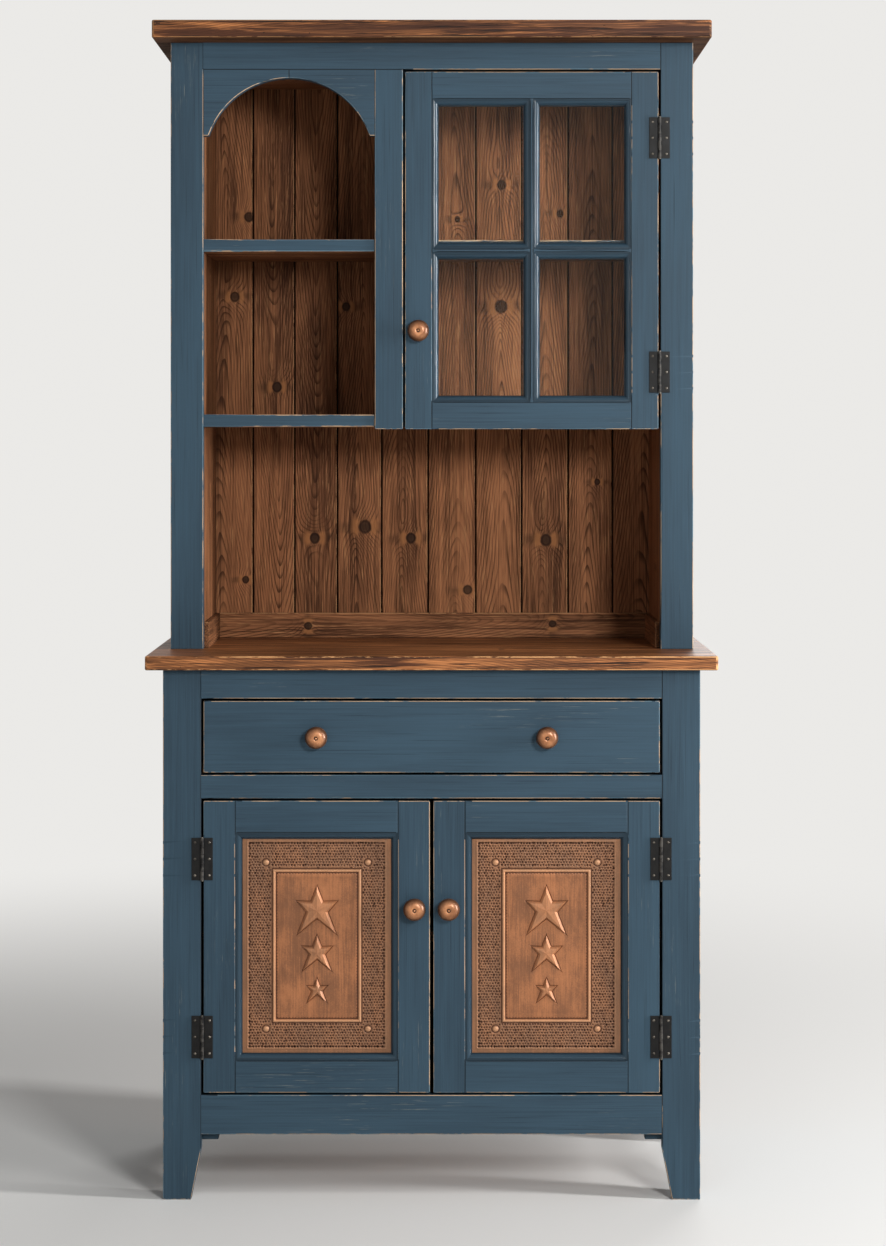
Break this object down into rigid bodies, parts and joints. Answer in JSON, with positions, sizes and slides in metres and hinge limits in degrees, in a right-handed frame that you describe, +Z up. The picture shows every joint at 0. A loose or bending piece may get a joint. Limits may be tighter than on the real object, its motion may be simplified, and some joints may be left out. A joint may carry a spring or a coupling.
{
  "type": "step back cupboard",
  "caption": "Tall two-part step back cupboard: base with drawer and copper-panelled doors under a shallower hutch with arched open shelves, a glass door and an open bay.",
  "frame": {"origin": "on the floor, below the centre of the overall box (door and drawer knobs included)", "axes": "+X to the right seen from the front, +Y from the front to the back, +Z up"},
  "size_m": [0.972, 0.45, 2.02],
  "materials": {
    "blue_paint": "worn matte milk paint on pine, edges rubbed back to the wood",
    "stained_boards": "knotty pine with a brown stain and a satin topcoat",
    "oiled_wood": "darker stained softwood, rubbed and lightly polished",
    "copper_cast": "aged copper finish, satin",
    "copper_sheet": "embossed copper sheet, aged and brushed",
    "iron": "dark iron, waxed",
    "bright_steel": "plated steel, slightly dulled",
    "backing_board": "thin board, unfinished",
    "glass": "clear window glass",
    "catch_plastic": "brown moulded case"
  },
  "bodies": {
    "cabinet": {"arch_boards": "blue_paint", "base_back_boards": "stained_boards", "base_bottom_rail": "blue_paint", "base_cleats": "stained_boards", "base_floor_board": "stained_boards", "base_leg_left": "blue_paint", "base_leg_right": "blue_paint", "base_middle_rail": "blue_paint", "base_shelf": "stained_boards", "base_side_left": "blue_paint", "base_side_right": "blue_paint", "base_top_rail": "blue_paint", "corner_blocks": "blue_paint", "counter_top": "oiled_wood", "crown_board": "oiled_wood", "door_catches": "catch_plastic", "drawer_runners": "stained_boards", "frame_hinge_screws": "bright_steel", "gallery_rails": "stained_boards", "hinge_frame_leaves": "iron", "hinge_pins": "bright_steel", "hutch_back_boards": "stained_boards", "hutch_battens": "stained_boards", "hutch_bottom_board": "blue_paint", "hutch_ceiling_board": "stained_boards", "hutch_linings": "stained_boards", "hutch_mullion": "blue_paint", "hutch_partition": "stained_boards", "hutch_shelves": "blue_paint", "hutch_side_left": "blue_paint", "hutch_side_right": "blue_paint", "hutch_stiles": "blue_paint", "hutch_top_rail": "blue_paint"},
    "glass_door": {"glass_door_fasteners": "bright_steel", "glass_door_hinge_leaves": "iron", "glass_door_knob": "copper_cast", "glass_door_muntins": "blue_paint", "glass_door_rails": "blue_paint", "glass_door_stiles": "blue_paint", "glass_panes": "glass", "glazing_beads": "blue_paint"},
    "left_door": {"left_door_backing": "backing_board", "left_door_copper_panel": "copper_sheet", "left_door_fasteners": "bright_steel", "left_door_hinge_leaves": "iron", "left_door_knob": "copper_cast", "left_door_rails": "blue_paint", "left_door_stiles": "blue_paint"},
    "right_door": {"right_door_backing": "backing_board", "right_door_copper_panel": "copper_sheet", "right_door_fasteners": "bright_steel", "right_door_hinge_leaves": "iron", "right_door_knob": "copper_cast", "right_door_rails": "blue_paint", "right_door_stiles": "blue_paint"},
    "drawer": {"drawer_back": "stained_boards", "drawer_bottom": "stained_boards", "drawer_front": "blue_paint", "drawer_knobs": "copper_cast", "drawer_sides": "stained_boards"}
  },
  "joints": [
    {"name": "glass_door_hinge", "type": "hinge", "parent": "cabinet", "child": "glass_door", "pos_m": [0.3985, -0.0683, 1.625], "axis": [0, 0, 1], "range_deg": [0, 170]},
    {"name": "left_door_hinge", "type": "hinge", "parent": "cabinet", "child": "left_door", "pos_m": [-0.3905, -0.1983, 0.4305], "axis": [0, 0, -1], "range_deg": [0, 170]},
    {"name": "right_door_hinge", "type": "hinge", "parent": "cabinet", "child": "right_door", "pos_m": [0.3905, -0.1983, 0.4305], "axis": [0, 0, 1], "range_deg": [0, 170]},
    {"name": "drawer_slide", "type": "slide", "parent": "cabinet", "child": "drawer", "axis": [0, -1, 0], "range_m": [0, 0.28]}
  ]
}
